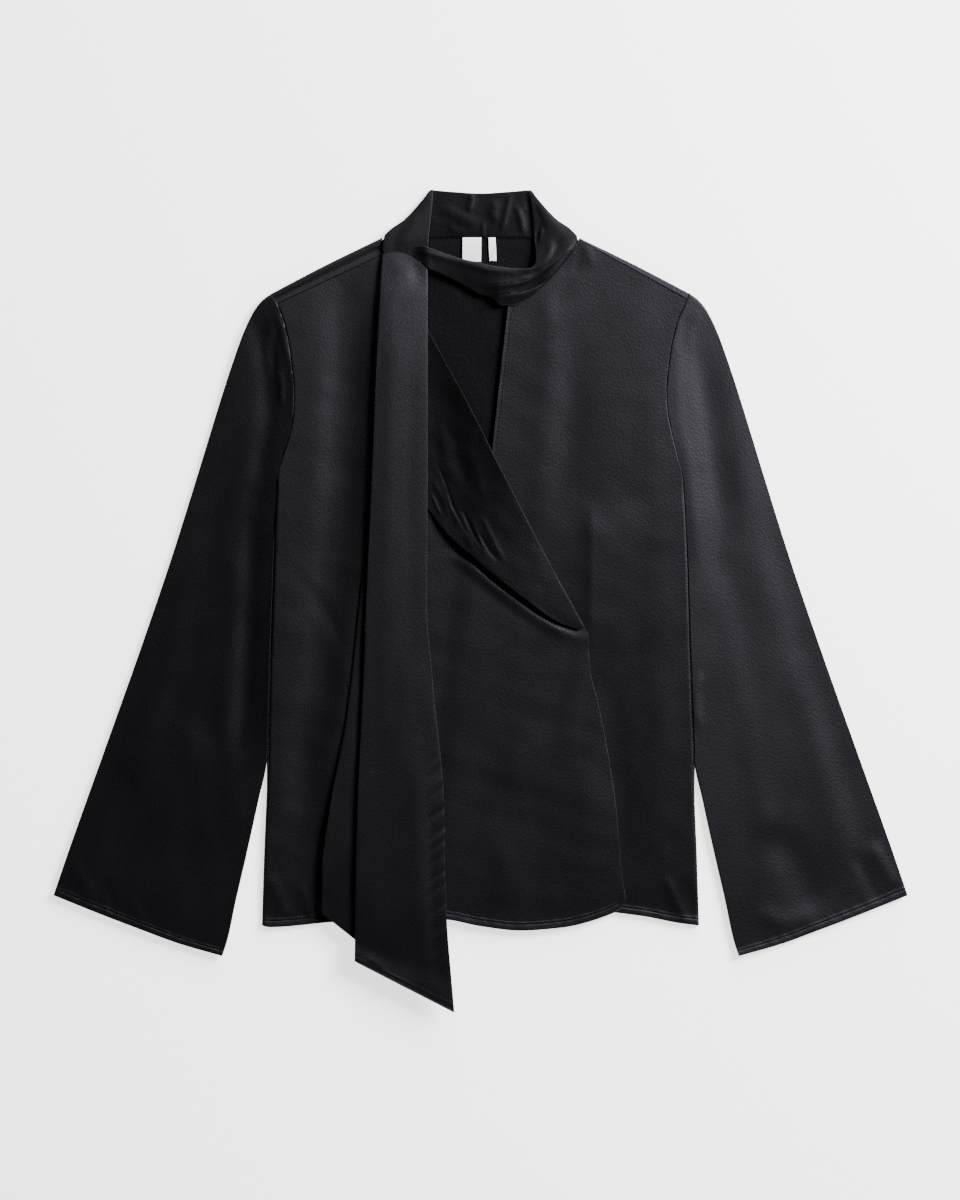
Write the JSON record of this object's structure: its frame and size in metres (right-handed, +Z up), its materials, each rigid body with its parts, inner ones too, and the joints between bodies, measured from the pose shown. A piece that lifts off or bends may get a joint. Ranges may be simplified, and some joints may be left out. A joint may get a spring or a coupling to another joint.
{
  "type": "tie neck blouse",
  "caption": "Long-sleeved wrap-front blouse in satin, laid flat on its back, with a scarf collar whose ends hang down the front.",
  "frame": {"origin": "middle of the bounding box of the laid-out blouse, in the plane it lies on", "axes": "+Z up from the surface the blouse lies on, +Y from the hem towards the collar, +X towards the wearer's left sleeve"},
  "size_m": [0.8142, 0.7797, 0.0106],
  "materials": {
    "face": "black satin with a soft sheen",
    "scarf": "black satin, double, with a soft sheen",
    "label": "plain white woven tape"
  },
  "bodies": {
    "root": {"back_panel": "face", "left_front": "face", "right_front": "face", "right_front_revers": "face", "left_sleeve": "face", "right_sleeve": "face", "scarf_back_neck": "scarf", "scarf_right_neck": "scarf", "scarf_left_neck": "scarf", "scarf_crossing": "scarf", "scarf_front_end": "scarf", "scarf_rear_end": "scarf", "neck_label": "label", "size_label": "label"}
  },
  "joints": []
}
